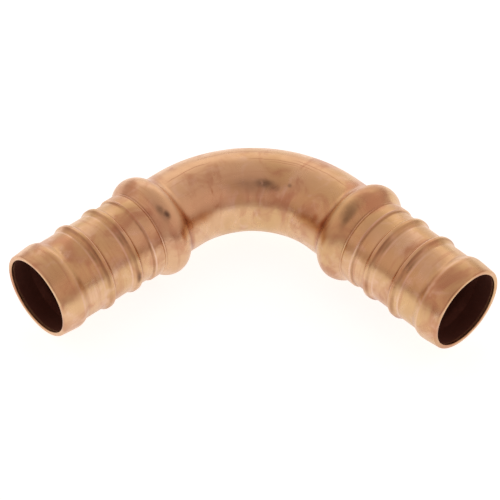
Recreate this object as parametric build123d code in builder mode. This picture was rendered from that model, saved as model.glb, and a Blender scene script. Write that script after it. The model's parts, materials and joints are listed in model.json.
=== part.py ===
from build123d import *
import os
from math import cos, radians, sin, tan

# Copper 90 degree elbow for half inch PEX pipe, held at each end by a crimped ring.
# It is one length of drawn tube, bent through a right angle, with the same end formed on
# both arms: a stop bead with a collar, two rolled ribs and a tapered nose. The wall keeps
# its thickness through them all, so the bore has a groove under each rib.
# Lengths are in millimetres and angles in degrees. The elbow lies flat: both axes are
# level, the mouths face -Y and +X, and the origin is under the middle of its outline.

# The tube
tube_od = 11.3
wall = 0.65
bend_radius = 14.5  # to the tube's axis
straight = 2.75  # from the end of the bend to the foot of the stop bead

# The stop bead, which the end of the pipe comes up to
bead_height = 1.4  # above the tube
bead_crown_radius = 2.3
bead_back_angle = 50  # slope of the flank on the side of the bend
bead_front_angle = 42  # slope of the flank on the side of the pipe
bead_foot_radius = 1.1

# The collar in front of the bead
collar_height = 0.35
collar_land = 1.9
collar_angle = 45
collar_gap = 1.7  # flat between the collar and the first rib

# The ribs that grip the pipe
rib_count = 2
rib_height = 0.45
rib_land = 0.75
rib_angle = 45
rib_gap = 2.85  # flat from one foot to the next

# The nose, which leads the pipe on
nose_angle = 30  # slope of its back
nose_land = 0.65
nose_taper = 0.25  # how far the taper falls
nose_taper_length = 2.5

tube_radius = tube_od / 2
bead_radius = tube_radius + bead_height
outer_lip_chamfer = wall / 3
inner_lip_chamfer = wall / 6


def run(start, length, rise=0):
    """A straight stretch towards the mouth. Returns its end, as the functions below do."""
    return Line(start, start + Vector(length, rise)) @ 1


def slope(start, rise, angle):
    """A conical flank that climbs, or falls where rise is negative."""
    return run(start, abs(rise) / tan(radians(angle)), rise)


def bead(start):
    """The stop bead: a flank, a round crown and a flank down to the collar."""
    crown_back = bead_crown_radius * (1 - cos(radians(bead_back_angle)))
    crown_front = bead_crown_radius * (1 - cos(radians(bead_front_angle)))
    end = slope(start, bead_height - crown_back, bead_back_angle)
    uphill = (cos(radians(bead_back_angle)), sin(radians(bead_back_angle)))
    crown = JernArc(end, uphill, bead_crown_radius, -bead_back_angle - bead_front_angle)
    return slope(crown @ 1, crown_front + collar_height - bead_height, bead_front_angle)


def rib(start):
    """A rolled rib with a flat land."""
    end = slope(start, rib_height, rib_angle)
    end = run(end, rib_land)
    return slope(end, -rib_height, rib_angle)


# The wall of one formed end, cut along its axis: X runs from the bend to the mouth
with BuildSketch() as wall_section:
    with BuildLine():
        bead_foot = run(Vector(0, tube_radius), straight)
        end = run(bead(bead_foot), collar_land)
        end = run(slope(end, -collar_height, collar_angle), collar_gap)
        for _ in range(rib_count):
            end = run(rib(end), rib_gap)
        end = run(slope(end, rib_height, nose_angle), nose_land)
        arm_length = end.X + nose_taper_length
        run(end, 2 * nose_taper_length, -2 * nose_taper)
        offset(amount=wall, side=Side.RIGHT, kind=Kind.INTERSECTION)
    make_face()
    # The taper is drawn long and cut off square at the mouth
    split(bisect_by=Plane.YZ.offset(arm_length), keep=Keep.BOTTOM)
    fillet(wall_section.vertices().sort_by_distance(bead_foot)[0], bead_foot_radius)
    lips = wall_section.vertices().group_by(Axis.X)[-1].sort_by(Axis.Y)
    chamfer(lips[-1], outer_lip_chamfer)
    chamfer(lips[0], inner_lip_chamfer)

# The outline reaches from a mouth to the bead on the other arm, the same both ways
bend_center_x = (bend_radius + bead_radius - arm_length) / 2
bend_center = Vector(bend_center_x, -bend_center_x, bead_radius)
arm_start = bend_center + Vector(0, bend_radius, 0)

with BuildPart() as elbow:
    # The arm along +X, and its mirror image along -Y
    with BuildSketch(Plane(origin=arm_start, x_dir=(1, 0, 0), z_dir=(0, -1, 0))):
        add(wall_section.sketch)
    revolve(axis=Axis(arm_start, (1, 0, 0)))
    mirror(about=Plane(origin=(0, 0, 0), z_dir=(1, 1, 0)))

    # The bend between them
    with BuildSketch(Plane(origin=arm_start, z_dir=(-1, 0, 0))):
        Circle(tube_radius)
        Circle(tube_radius - wall, mode=Mode.SUBTRACT)
    revolve(axis=Axis(bend_center, (0, 0, 1)), revolution_arc=90)

elbow.part.label = "elbow"

os.makedirs("parts", exist_ok=True)
export_step(elbow.part, "parts/elbow.step")
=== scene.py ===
import bpy
import bmesh
import json
import math
from mathutils import Matrix, Vector, noise as wallNoise


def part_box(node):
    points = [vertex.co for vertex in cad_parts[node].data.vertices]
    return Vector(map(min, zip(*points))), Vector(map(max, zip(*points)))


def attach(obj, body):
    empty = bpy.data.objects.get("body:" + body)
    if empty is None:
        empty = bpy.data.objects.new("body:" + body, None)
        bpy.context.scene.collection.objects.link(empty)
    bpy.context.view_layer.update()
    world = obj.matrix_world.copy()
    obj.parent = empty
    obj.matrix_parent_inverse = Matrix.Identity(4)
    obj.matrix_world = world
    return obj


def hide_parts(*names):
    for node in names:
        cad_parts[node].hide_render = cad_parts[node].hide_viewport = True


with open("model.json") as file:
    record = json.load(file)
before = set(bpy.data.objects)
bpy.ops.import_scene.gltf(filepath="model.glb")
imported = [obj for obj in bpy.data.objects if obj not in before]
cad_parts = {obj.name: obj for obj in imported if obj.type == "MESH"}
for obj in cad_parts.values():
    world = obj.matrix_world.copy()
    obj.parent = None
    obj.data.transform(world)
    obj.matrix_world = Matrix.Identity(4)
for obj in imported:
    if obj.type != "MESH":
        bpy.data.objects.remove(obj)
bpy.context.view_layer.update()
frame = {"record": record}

mm = 0.001

print("elbow: outline from the frame")
ports = {mount["name"]: mount for mount in frame["record"]["mounts"]}
axisX = ports["port_a"]["pos_m"][0]  # of the arm that points along -Y
axisY, axisZ = ports["port_b"]["pos_m"][1:]  # of the arm that points along +X
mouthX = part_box("elbow")[1][0]
halfBend = math.pi / 4  # from the end of an arm to the middle of the bend

elbow = {
    "bendRadius": 14.5 * mm,
    # from here on in mm: radii, distances along an arm from the end of the bend, and roundings
    "tube": 5.65,
    "bore": 5.0,
    "beadFoot": (2.75, 5.65, 0.7),
    "beadCrest": (4.77, 8.04, 2.38),
    "creases": [(7.1, 5.88, 0.04), (7.23, 6.03, 0.05), (7.36, 5.86, 0.04)],
    "collar": [(7.5, 5.97, 0.05), (8.95, 5.98, 0.05), (9.14, 5.7, 0.12)],
    "valley": 5.69,  # radius of the tube between the ribs
    "ribRadius": 6.1,
    "ribLand": 0.55,
    "ribFront": (0.5, 0.3),  # length and rounding of the flank on the side of the mouth
    "ribBack": (0.3, 0.1),
    "ribMiddles": (11.7, 16.15),
    "ribShoulder": 0.12,
    "nose": [(19.95, 5.69, 0.3), (20.75, 6.1, 0.4), (21.5, 6.1, 0.7)],
    "lip": [(0, 5.85, 0.26), (0, 5.2, 0.2)],  # back from the mouth
    # inside corners from the mouth back to the last rib, then under the collar and the bead
    "noseGroove": [(21.5, 5.45, 0.5), (20.95, 5.45, 0.2), (20.15, 5.04, 0.3)],
    "ribGrooveLand": 0.3,
    "beadGroove": [(9.04, 5.04, 0.1), (8.74, 5.33, 0.1), (6.81, 5.33, 0.1), (4.77, 7.12, 1.7),
                   (2.99, 5.0, 0.5)],
    "roundingSteps": 5,
    "crownRounding": 1,  # a larger rounding gets the steps of a crown
    "crownSteps": 18,
    "aroundSteps": 144,
    "bendSteps": 36,  # to the middle of the bend
    "dentDepth": 0.05,
    "dentWidth": 3.0,
}


def ribCorners(middle, low, high, land):
    (back, backFoot), (front, frontFoot) = elbow["ribBack"], elbow["ribFront"]
    start, end, shoulder = middle - land / 2, middle + land / 2, elbow["ribShoulder"]
    return [(start - back, low, backFoot), (start, high, shoulder), (end, high, shoulder),
            (end + front, low, frontFoot)]


def wallCorners(armLength):
    # once round the wall of an arm: out along the outside, and back through the bore
    wall = elbow["tube"] - elbow["bore"]
    corners = [(0, elbow["tube"], 0), elbow["beadFoot"], elbow["beadCrest"]]
    corners += elbow["creases"] + elbow["collar"]
    for middle in elbow["ribMiddles"]:
        corners += ribCorners(middle, elbow["valley"], elbow["ribRadius"], elbow["ribLand"])
    corners += elbow["nose"]
    corners += [(armLength / mm - back, radius, rounding) for back, radius, rounding in elbow["lip"]]
    corners += elbow["noseGroove"]
    for middle in reversed(elbow["ribMiddles"]):
        corners += reversed(ribCorners(middle, elbow["valley"] - wall, elbow["ribRadius"] - wall,
                                       elbow["ribGrooveLand"]))
    return corners + elbow["beadGroove"] + [(0, elbow["bore"], 0)]


def addProfile(bm, armLength):
    corners = wallCorners(armLength)
    verts = [bm.verts.new((along * mm, 0, radius * mm)) for along, radius, _ in corners]
    for first, second in zip(verts, verts[1:]):
        bm.edges.new((first, second))
    for vert, (_, _, rounding) in zip(verts, corners):
        if rounding:
            steps = "crownSteps" if rounding > elbow["crownRounding"] else "roundingSteps"
            bmesh.ops.bevel(bm, geom=[vert], offset=rounding * mm, offset_type="OFFSET",
                            segments=elbow[steps], profile=0.5, affect="VERTICES", material=-1)


def addDents(bm):
    # the tumbled wall is never quite true: it sinks a little here and there
    for vert in bm.verts:
        sunk = 0.5 + 0.5 * wallNoise.noise(vert.co / (elbow["dentWidth"] * mm))
        vert.co -= vert.normal * sunk * elbow["dentDepth"] * mm


def addTubePoint(mesh, bendX, bendY):
    # where each point would be if the tube were straight along X, from the middle of the bend
    radius = elbow["bendRadius"]
    values = []
    for vert in mesh.vertices:
        x, y = vert.co.x - bendX, vert.co.y - bendY
        if x > 0:
            along, out = x + radius * halfBend, y - radius
        elif y < 0:
            along, out = y - radius * halfBend, -x - radius
        else:
            along, out = radius * (math.atan2(y, -x) - halfBend), math.hypot(x, y) - radius
        values += [along, out, vert.co.z - axisZ]
    attribute = mesh.attributes.new("tubePoint", "FLOAT_VECTOR", "POINT")
    attribute.data.foreach_set("vector", values)


def makeElbow():
    bendX, bendY = axisX + elbow["bendRadius"], axisY - elbow["bendRadius"]
    bm = bmesh.new()
    addProfile(bm, mouthX - bendX)
    bmesh.ops.translate(bm, vec=(bendX, axisY, axisZ), verts=bm.verts[:])
    bmesh.ops.spin(bm, geom=bm.verts[:] + bm.edges[:], cent=(0, axisY, axisZ), axis=(1, 0, 0),
                   angle=2 * math.pi, steps=elbow["aroundSteps"], use_merge=True, use_duplicate=False)
    rings = [edge for edge in bm.edges if edge.is_boundary]
    ringVerts = list({vert for edge in rings for vert in edge.verts})
    bmesh.ops.spin(bm, geom=rings + ringVerts, cent=(bendX, bendY, 0), axis=(0, 0, 1),
                   angle=halfBend, steps=elbow["bendSteps"], use_merge=False, use_duplicate=False)
    mirrorFrame = Matrix.Translation((bendX, bendY, 0)) @ Matrix.Rotation(halfBend, 4, "Z")
    bmesh.ops.mirror(bm, geom=bm.verts[:] + bm.edges[:] + bm.faces[:], matrix=mirrorFrame.inverted(),
                     merge_dist=0.01 * mm, axis="X")
    bmesh.ops.remove_doubles(bm, verts=bm.verts[:], dist=0.001 * mm)
    bmesh.ops.recalc_face_normals(bm, faces=bm.faces[:])
    bm.normal_update()
    addDents(bm)
    mesh = bpy.data.meshes.new("copperElbow")
    bm.to_mesh(mesh)
    bm.free()
    addTubePoint(mesh, bendX, bendY)
    mesh.shade_smooth()
    piece = bpy.data.objects.new("copperElbow", mesh)
    bpy.context.scene.collection.objects.link(piece)
    return piece


copper = {
    "clean": (0.72, 0.475, 0.285),
    "ochre": (0.66, 0.435, 0.225),
    "brown": (0.52, 0.255, 0.15),
    "pink": (0.80, 0.56, 0.42),
    "stain": (0.13, 0.08, 0.055),
    # dark oxide in the bore, made dark enough to serve also as painted shade of the hollow
    "oxide": (0.2, 0.085, 0.062),
    # painted shade in the rings at the feet of the ribs, the creases and the collar
    "grime": (0.34, 0.165, 0.085),
    "rust": (0.42, 0.15, 0.06),  # in the fold where the bead's foot meets the tube
    "roughness": 0.3,
    "hazeRoughness": (-0.05, 0.08),  # what the haze adds where it is thin and where it is thick
    "stainRoughness": 0.25,
    "oxideRoughness": 0.6,
    "wear": 0.5,  # how strongly the draw lines and scratches show
    # how strongly the creases are darkened with painted shade
    "creaseStrength": 0.6,
    # layers of noise: where each starts and is full, its strength, and how its pattern is stretched
    "drift": {"scale": 90, "detail": 2, "distortion": 0.3, "low": 0.42, "high": 0.62},
    "clouds": {"scale": 250, "detail": 4, "roughness": 0.55, "distortion": 0.7, "low": 0.47,
               "high": 0.68, "strength": 0.75, "stretch": (1.0, 0.75, 0.75)},
    "blush": {"scale": 330, "detail": 4, "roughness": 0.6, "distortion": 0.6, "low": 0.5,
              "high": 0.74, "strength": 0.6},
    "drawn": {"scale": 1700, "detail": 4, "roughness": 0.6, "low": 0.55, "high": 0.75,
              "strength": 0.5, "stretch": (0.05, 1, 1)},
    "rolled": {"scale": 1500, "detail": 4, "roughness": 0.6, "low": 0.52, "high": 0.72,
               "stretch": (1, 0.07, 0.07)},
    "patchy": {"scale": 420, "detail": 3, "low": 0.36, "high": 0.62, "least": 0.2,
               "stretch": (1, 0.5, 0.5)},
    "film": {"scale": 700, "detail": 4, "roughness": 0.6, "low": 0.35, "high": 0.6},
    "speckle": {"scale": 900, "detail": 5, "roughness": 0.65, "distortion": 0.5, "low": 0.25,
                "high": 0.52, "stretch": (0.5, 1, 1)},
    "haze": {"scale": 420, "detail": 4, "roughness": 0.6, "low": 0.3, "high": 0.7},
    "scratch": {"scale": 1300, "detail": 1, "roughness": 0.4, "low": 0.7, "high": 0.78,
                "strength": 0.5, "stretch": (0.04, 1, 1)},
    "wander": {"scale": 300, "stretch": (1, 0.1, 0.1)},  # of the creases along the tube
    "grain": {"scale": 3200},
    "dents": {"scale": 520},
    "wanderReach": 0.12,
    "scratchTurns": ((0.4, 0.9, 0.2), (1.3, 0.3, 1.9), (2.2, 1.4, 0.7)),
    # heights in the bump, and the depth in mm that they stand for
    "lineHeight": 0.3,
    "grainHeight": 0.15,
    "dentHeight": 1.8,
    "creaseHeight": 1.2,
    "bumpDepth": 0.03,
    # where the zones change, in mm
    "armFade": (1.5, 4),  # past the end of the bend
    "boreFade": (5.5, 5.6),  # from the axis
    "mouthFade": (0.7, 0.25),  # back from the mouth
    "footRise": (1.9, 2.8),  # the film at the bead's foot, past the end of the bend
    "footFall": (2.9, 3.5),
    "footInside": (-5.5, -2),  # across the bend, where it fades towards the outside
    "footStrength": (0.1, 0.7),  # on the outside of the bend and on the inside
    # marks: mm along, out and up in the straight tube, their reach along and across, their strength
    "stains": [
        (1.5, -3.5, 4.45, 2.6, 0.9, 0.7),
        (3.2, -3.75, 4.2, 1.6, 0.7, 0.6),
        (5.8, -3.2, 4.7, 0.6, 0.45, 0.5),
        (-16.9, -4.2, 5.5, 0.6, 1.0, 0.85),
        (-17.2, -3.3, 5.9, 0.6, 1.0, 0.4),
        (16.9, -2.9, 6.3, 1.3, 2.2, 0.4),
        (17.3, -3.9, 5.8, 0.7, 0.9, 0.35),
        (-23.3, -6.1, -0.2, 0.4, 1.5, 0.6),
    ],
    "rustSpots": [
        (12.6, -4.7, 3.1, 0.8, 1.0, 0.7),
        (-8.0, -3.7, 4.2, 0.35, 1.3, 0.7),
        (-13.9, -5.3, 2.2, 0.8, 1.7, 0.6),
        (14.6, -5.2, 3.0, 0.9, 1.8, 0.6),
        (-8.0, -4.9, 2.8, 1.3, 0.8, 0.6),
    ],
    # rings round the arms, of painted shade and then of painted highlight: mm from the end of the bend,
    # half their width, and their strength
    "grimeBands": [
        (7.08, 0.12, 0.45),
        (7.4, 0.1, 0.3),
        (9.2, 0.25, 0.55),
        (12.05, 0.3, 0.6),
        (16.5, 0.3, 0.6),
        (20.1, 0.5, 0.3),
        (11.05, 0.15, 0.4),
        (15.5, 0.15, 0.4),
    ],
    # painted highlights along the edges of the ribs, the crease and the collar
    "rubbedBands": [
        (7.23, 0.1, 0.5),
        (8.93, 0.14, 0.8),
        (11.42, 0.16, 0.8),
        (15.87, 0.16, 0.8),
        (12.75, 0.2, 0.7),
        (17.2, 0.2, 0.7),
        (20.75, 0.25, 0.6),
    ],
    # fine creases along the tube: degrees round from outside the bend, and mm from and to
    "creases": [
        (91, -14.0, -5.5),
        (88, 4.0, 14.0),
        (94, -2.0, 9.0),
        (98, 1.0, 6.5),
        (76, -9.0, 3.0),
        (-60, -6.0, 8.0),
    ],
    "creaseEdges": (0.004, 0.02),  # full and faded out, in radians off its line
    "creaseEnd": 2,  # mm over which a crease fades in and out
    "spotCore": 0.1,  # share of a spot's reach at full strength
    "bandCore": 0.2,  # the same share of a ring
}


def addNode(tree, kind, settings=None, **inputs):
    # in0, in1 and so on are inputs by number, and other names are inputs by name
    node = tree.nodes.new("ShaderNode" + kind)
    for name, value in (settings or {}).items():
        setattr(node, name, value)
    for name, value in inputs.items():
        numbered = name.startswith("in") and name[2:].isdigit()
        socket = node.inputs[int(name[2:])] if numbered else node.inputs[name]
        if isinstance(value, bpy.types.NodeSocket):
            tree.links.new(value, socket)
        else:
            socket.default_value = value
    return node


def math2(tree, operation, first, second=0.0):
    return addNode(tree, "Math", {"operation": operation}, in0=first, in1=second).outputs[0]


def times(tree, first, second):
    return math2(tree, "MULTIPLY", first, second)


def ramp(tree, value, low, high, top=1.0, bottom=0.0):
    # a soft step: bottom below low, top above high
    node = addNode(tree, "MapRange", {"interpolation_type": "SMOOTHSTEP"})
    tree.links.new(value, node.inputs["Value"])
    for name, number in (("From Min", low), ("From Max", high), ("To Min", bottom), ("To Max", top)):
        node.inputs[name].default_value = number
    return node.outputs["Result"]


def layerNoise(tree, point, layer, turn=(0, 0, 0)):
    if "stretch" in layer:
        mapping = addNode(tree, "Mapping", Vector=point, Scale=layer["stretch"], Rotation=turn)
        point = mapping.outputs["Vector"]
    node = addNode(tree, "TexNoise", Vector=point, Scale=layer["scale"], Detail=layer.get("detail", 2),
                   Roughness=layer.get("roughness", 0.5), Distortion=layer.get("distortion", 0))
    return node.outputs["Fac"]


def layerRamp(tree, pattern, layer):
    return ramp(tree, pattern, layer["low"], layer["high"], layer.get("strength", 1.0),
                layer.get("least", 0.0))


def layerPatches(tree, point, layer, turn=(0, 0, 0)):
    return layerRamp(tree, layerNoise(tree, point, layer, turn), layer)


def mixColor(tree, fac, first, second):
    node = addNode(tree, "Mix", {"data_type": "RGBA"})
    for socket, value in ((node.inputs[0], fac), (node.inputs[6], first), (node.inputs[7], second)):
        if isinstance(value, bpy.types.NodeSocket):
            tree.links.new(value, socket)
        else:
            socket.default_value = (*value, 1) if isinstance(value, tuple) else value
    return node.outputs[2]


def spots(tree, point, places):
    # soft oval spots
    joined = None
    for along, out, up, reachAlong, reachAcross, strength in places:
        away = addNode(tree, "VectorMath", {"operation": "SUBTRACT"}, in0=point,
                       in1=(along * mm, out * mm, up * mm)).outputs["Vector"]
        scale = (1 / (reachAlong * mm), 1 / (reachAcross * mm), 1 / (reachAcross * mm))
        away = addNode(tree, "VectorMath", {"operation": "MULTIPLY"}, in0=away,
                       in1=scale).outputs["Vector"]
        length = addNode(tree, "VectorMath", {"operation": "LENGTH"}, in0=away).outputs["Value"]
        spot = ramp(tree, length, copper["spotCore"], 1.0, 0.0, strength)
        joined = spot if joined is None else math2(tree, "MAXIMUM", joined, spot)
    return joined


def bands(tree, fromStart, places):
    # soft rings round the arm
    joined = None
    for middle, reach, strength in places:
        off = math2(tree, "ABSOLUTE", math2(tree, "SUBTRACT", fromStart, middle * mm))
        ring = ramp(tree, off, copper["bandCore"] * reach * mm, reach * mm, 0.0, strength)
        joined = ring if joined is None else math2(tree, "MAXIMUM", joined, ring)
    return joined


def creaseLines(tree, along, angle):
    # thin lines with soft ends
    joined = None
    fade = copper["creaseEnd"]
    for degrees, start, end in copper["creases"]:
        off = math2(tree, "ABSOLUTE", math2(tree, "SUBTRACT", angle, math.radians(degrees)))
        line = ramp(tree, off, *copper["creaseEdges"], 0.0, 1.0)
        opened = ramp(tree, along, start * mm, (start + fade) * mm)
        closed = ramp(tree, along, (end - fade) * mm, end * mm, 0.0, 1.0)
        line = times(tree, line, times(tree, opened, closed))
        joined = line if joined is None else math2(tree, "MAXIMUM", joined, line)
    return joined


def tubePlaces(tree, armStart, armEnd):
    # where a point lies on the straight tube, and the zones that it is in
    point = addNode(tree, "Attribute", {"attribute_name": "tubePoint"}).outputs["Vector"]
    along, out, up = addNode(tree, "SeparateXYZ", Vector=point).outputs
    fromMiddle = math2(tree, "ABSOLUTE", along)
    across = addNode(tree, "CombineXYZ", Y=out, Z=up).outputs[0]
    radius = addNode(tree, "VectorMath", {"operation": "LENGTH"}, in0=across).outputs["Value"]
    onArm = ramp(tree, fromMiddle, *(armStart + edge * mm for edge in copper["armFade"]))
    hollow = ramp(tree, radius, *(edge * mm for edge in copper["boreFade"]), 0.0, 1.0)
    deep = ramp(tree, fromMiddle, *(armEnd - edge * mm for edge in copper["mouthFade"]), 0.0, 1.0)
    return {
        "point": point,
        "along": along,
        "out": out,
        "fromMiddle": fromMiddle,
        "fromStart": math2(tree, "SUBTRACT", fromMiddle, armStart),
        "angle": math2(tree, "ARCTAN2", up, out),
        "onArm": onArm,
        "onBend": math2(tree, "SUBTRACT", 1.0, onArm),
        "inside": times(tree, hollow, deep),
    }


def copperMarks(tree, at):
    # lines from drawing and rolling, creases and stains, which show in more than the colour
    wander = layerNoise(tree, at["point"], copper["wander"])
    angle = math2(tree, "ADD", at["angle"], times(tree, wander, copper["wanderReach"]))
    speckle = layerPatches(tree, at["point"], copper["speckle"])
    return {
        "drawn": layerNoise(tree, at["point"], copper["drawn"]),
        "rolled": layerNoise(tree, at["point"], copper["rolled"]),
        "creases": creaseLines(tree, at["along"], angle),
        "stained": times(tree, spots(tree, at["point"], copper["stains"]), speckle),
    }


def rustFilm(tree, at, armStart):
    # the fold at the bead's foot keeps a rusty film, most of it inside the bend
    rise = ramp(tree, at["fromMiddle"], *(armStart + edge * mm for edge in copper["footRise"]))
    fall = ramp(tree, at["fromMiddle"], *(armStart + edge * mm for edge in copper["footFall"]), 0.0, 1.0)
    inwards = ramp(tree, at["out"], *(edge * mm for edge in copper["footInside"]), *copper["footStrength"])
    foot = times(tree, times(tree, rise, fall), inwards)
    film = times(tree, spots(tree, at["point"], copper["rustSpots"]),
                 layerPatches(tree, at["point"], copper["film"]))
    return math2(tree, "MAXIMUM", foot, film)


def copperColor(tree, at, marks, armStart):
    point = at["point"]
    color = mixColor(tree, layerPatches(tree, point, copper["drift"]), copper["clean"], copper["ochre"])
    color = mixColor(tree, layerPatches(tree, point, copper["clouds"]), color, copper["brown"])
    color = mixColor(tree, layerPatches(tree, point, copper["blush"]), color, copper["pink"])
    drawnLines = times(tree, layerRamp(tree, marks["drawn"], copper["drawn"]), at["onBend"])
    rolledLines = times(tree, layerRamp(tree, marks["rolled"], copper["rolled"]), at["onArm"])
    lines = times(tree, math2(tree, "ADD", drawnLines, rolledLines), copper["wear"])
    color = mixColor(tree, lines, color, copper["brown"])
    # painted shade in the creases, darkening them towards brown
    creaseShade = times(tree, marks["creases"], copper["creaseStrength"])
    color = mixColor(tree, creaseShade, color, copper["brown"])
    # painted shade along the feet of the ribs and the collar, and painted highlights along their edges,
    # both in patches
    patchy = layerPatches(tree, point, copper["patchy"])
    grime = times(tree, bands(tree, at["fromStart"], copper["grimeBands"]), patchy)
    # painted shade at the feet of the ribs and the collar
    color = mixColor(tree, grime, color, copper["grime"])
    # painted highlight on the edges of the ribs and the collar, in pink
    rimHighlight = times(tree, bands(tree, at["fromStart"], copper["rubbedBands"]), patchy)
    color = mixColor(tree, rimHighlight, color, copper["pink"])
    color = mixColor(tree, rustFilm(tree, at, armStart), color, copper["rust"])
    color = mixColor(tree, marks["stained"], color, copper["stain"])
    # the bore takes a dark oxide colour that is also painted shade of the hollow
    return mixColor(tree, at["inside"], color, copper["oxide"])


def copperRoughness(tree, at, marks):
    thin, thick = copper["hazeRoughness"]
    haze = copper["haze"]
    rough = ramp(tree, layerNoise(tree, at["point"], haze), haze["low"], haze["high"],
                 copper["roughness"] + thick, copper["roughness"] + thin)
    rough = math2(tree, "ADD", rough, times(tree, marks["stained"], copper["stainRoughness"]))
    return math2(tree, "ADD", rough, times(tree, at["inside"], copper["oxideRoughness"]))


def copperBump(tree, at, marks):
    lines = math2(tree, "ADD", times(tree, marks["drawn"], at["onBend"]),
                  times(tree, marks["rolled"], at["onArm"]))
    height = times(tree, lines, copper["lineHeight"])
    for layer, strength in (("grain", copper["grainHeight"]), ("dents", copper["dentHeight"])):
        raised = times(tree, layerNoise(tree, at["point"], copper[layer]), strength)
        height = math2(tree, "ADD", height, raised)
    height = math2(tree, "SUBTRACT", height, times(tree, marks["creases"], copper["creaseHeight"]))
    for turn in copper["scratchTurns"]:
        scratch = layerPatches(tree, at["point"], copper["scratch"], turn)
        height = math2(tree, "SUBTRACT", height, scratch)
    bump = addNode(tree, "Bump", Strength=copper["wear"], Distance=copper["bumpDepth"] * mm,
                   Height=height)
    return bump.outputs["Normal"]


def makeCopper(armStart, armEnd):
    material = bpy.data.materials.new("tumbledCopper")
    material.use_nodes = True
    tree = material.node_tree
    shader = tree.nodes["Principled BSDF"]
    at = tubePlaces(tree, armStart, armEnd)
    marks = copperMarks(tree, at)
    tree.links.new(copperColor(tree, at, marks, armStart), shader.inputs["Base Color"])
    tree.links.new(copperRoughness(tree, at, marks), shader.inputs["Roughness"])
    tree.links.new(copperBump(tree, at, marks), shader.inputs["Normal"])
    shader.inputs["Metallic"].default_value = 1
    return material


piece = makeElbow()
middleToArm = elbow["bendRadius"] * halfBend
armLength = mouthX - axisX - elbow["bendRadius"]
piece.data.materials.append(makeCopper(middleToArm, middleToArm + armLength))
print("elbow:", len(piece.data.polygons), "faces")
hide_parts("elbow")
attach(piece, "root")

studio = {
    "floorSize": 2.0,
    "floorShade": 0.55,
    "floorGlow": 0.8,
    "floorRoughness": 0.9,
    # painted shade: the floor's colour and glow fall to this share in front
    "floorDim": 0.7,  # what is left of the floor in front, past the view
    "floorFade": (0.0, 0.14),  # metres in front of the elbow's middle
    "frontAzimuth": 47,
    # the sky half way up: on the camera's side, to its sides and behind the elbow
    "skyNear": (0.72, 0.505, 0.46),
    "skySide": (0.80, 0.60, 0.54),
    "skyFar": (0.90, 0.74, 0.66),
    "skyLow": 0.66,  # how much of that is left at the horizon and overhead
    "skyHigh": 0.8,
    "skyLowReach": (0.0, 0.4),  # sines of the elevations where these end and begin
    "skyHighReach": (0.6, 0.95),
    "brightAzimuth": 227,
    "brightElevation": 6,
    # the dark camera and what stands behind it
    "cameraAzimuth": 45,
    "cameraElevation": 52,
    "cameraReach": (8, 28),
    "cameraDark": 0.5,
}
backLight = {"azimuth": 227, "elevation": 20, "distance": 0.6, "size": (0.6, 0.4), "power": 0.25}
view = {
    "azimuth": 47.1,
    "elevation": 45.0,
    "roll": 0.26,
    "distance": 0.2163,
    "lens": 119.7,
    "target": (-0.0036, 0.0029, axisZ),
}


def fromStudio(azimuth, elevation):
    a, e = math.radians(azimuth), math.radians(elevation)
    return Vector((math.sin(a) * math.cos(e), -math.cos(a) * math.cos(e), math.sin(e)))


def facing(tree, direction, toward):
    return addNode(tree, "VectorMath", {"operation": "DOT_PRODUCT"}, in0=direction,
                   in1=toward).outputs["Value"]


def makePaleFloor():
    material = bpy.data.materials.new("paleFloor")
    material.use_nodes = True
    tree = material.node_tree
    shader = tree.nodes["Principled BSDF"]
    place = addNode(tree, "TexCoord").outputs["Object"]
    front = facing(tree, place, fromStudio(studio["frontAzimuth"], 0))
    # painted shade on the floor in front of the elbow, in its colour and its glow
    frontShade = ramp(tree, front, *studio["floorFade"], studio["floorDim"], 1.0)
    shade = times(tree, frontShade, studio["floorShade"])
    shade = addNode(tree, "CombineXYZ", X=shade, Y=shade, Z=shade).outputs[0]
    tree.links.new(shade, shader.inputs["Base Color"])
    shader.inputs["Roughness"].default_value = studio["floorRoughness"]
    shader.inputs["Specular IOR Level"].default_value = 0
    # the floor glows only for rays from the camera and from the copper's reflections
    ray = addNode(tree, "LightPath").outputs
    seen = math2(tree, "MAXIMUM", ray["Is Camera Ray"], ray["Is Glossy Ray"])
    seen = math2(tree, "MAXIMUM", seen, ray["Is Transmission Ray"])
    glow = times(tree, seen, times(tree, frontShade, studio["floorGlow"]))
    shader.inputs["Emission Color"].default_value = (1, 1, 1, 1)
    tree.links.new(glow, shader.inputs["Emission Strength"])
    return material


def makeFloor():
    bm = bmesh.new()
    bmesh.ops.create_grid(bm, x_segments=1, y_segments=1, size=studio["floorSize"] / 2)
    mesh = bpy.data.meshes.new("floor")
    bm.to_mesh(mesh)
    bm.free()
    mesh.materials.append(makePaleFloor())
    floor = bpy.data.objects.new("floor", mesh)
    bpy.context.scene.collection.objects.link(floor)


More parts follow.
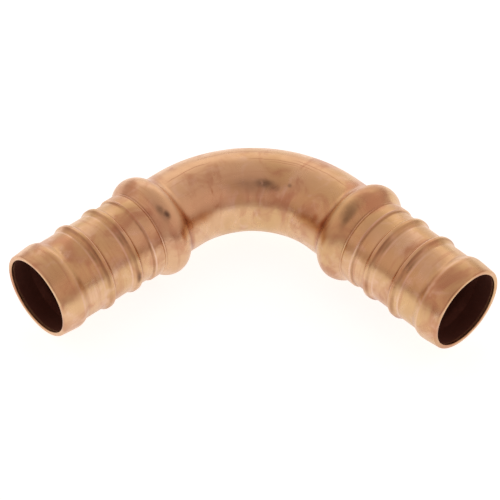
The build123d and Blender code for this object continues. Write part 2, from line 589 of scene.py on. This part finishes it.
def makeSky():
    world = bpy.data.worlds.new("studioSky")
    world.use_nodes = True
    bpy.context.scene.world = world
    tree = world.node_tree
    background = tree.nodes["Background"]
    direction = addNode(tree, "TexCoord").outputs["Generated"]
    bright = facing(tree, direction, fromStudio(studio["brightAzimuth"], studio["brightElevation"]))
    sky = addNode(tree, "ValToRGB", Fac=ramp(tree, bright, -1.0, 1.0))
    stops = sky.color_ramp.elements
    stops[0].color = (*studio["skyNear"], 1)
    stops[1].color = (*studio["skyFar"], 1)
    stops.new(0.5).color = (*studio["skySide"], 1)
    up = addNode(tree, "SeparateXYZ", Vector=direction).outputs["Z"]
    low = ramp(tree, up, *studio["skyLowReach"], 1.0, studio["skyLow"])
    high = ramp(tree, up, *studio["skyHighReach"], studio["skyHigh"], 1.0)
    inner, outer = (math.cos(math.radians(reach)) for reach in studio["cameraReach"])
    camera = facing(tree, direction, fromStudio(studio["cameraAzimuth"], studio["cameraElevation"]))
    dark = ramp(tree, camera, outer, inner, studio["cameraDark"], 1.0)
    tree.links.new(sky.outputs["Color"], background.inputs["Color"])
    tree.links.new(times(tree, times(tree, low, high), dark), background.inputs["Strength"])


def addBackLight():
    toward = fromStudio(backLight["azimuth"], backLight["elevation"])
    light = bpy.data.lights.new("backLight", "AREA")
    light.shape = "RECTANGLE"
    light.size, light.size_y = backLight["size"]
    light.energy = backLight["power"]
    lamp = bpy.data.objects.new("backLight", light)
    lamp.location = toward * backLight["distance"]
    lamp.rotation_euler = (-toward).to_track_quat("-Z", "Y").to_euler()
    bpy.context.scene.collection.objects.link(lamp)


def makeCamera():
    back = fromStudio(view["azimuth"], view["elevation"])
    data = bpy.data.cameras.new("camera")
    data.lens = view["lens"]
    camera = bpy.data.objects.new("camera", data)
    camera.matrix_world = (Matrix.Translation(Vector(view["target"]) + back * view["distance"])
                           @ (-back).to_track_quat("-Z", "Y").to_matrix().to_4x4()
                           @ Matrix.Rotation(math.radians(view["roll"]), 4, "Z"))
    bpy.context.scene.collection.objects.link(camera)
    bpy.context.scene.camera = camera


print("studio: floor, light and camera")
makeFloor()
makeSky()
makeCamera()
addBackLight()
bpy.context.scene.view_settings.view_transform = "Standard"
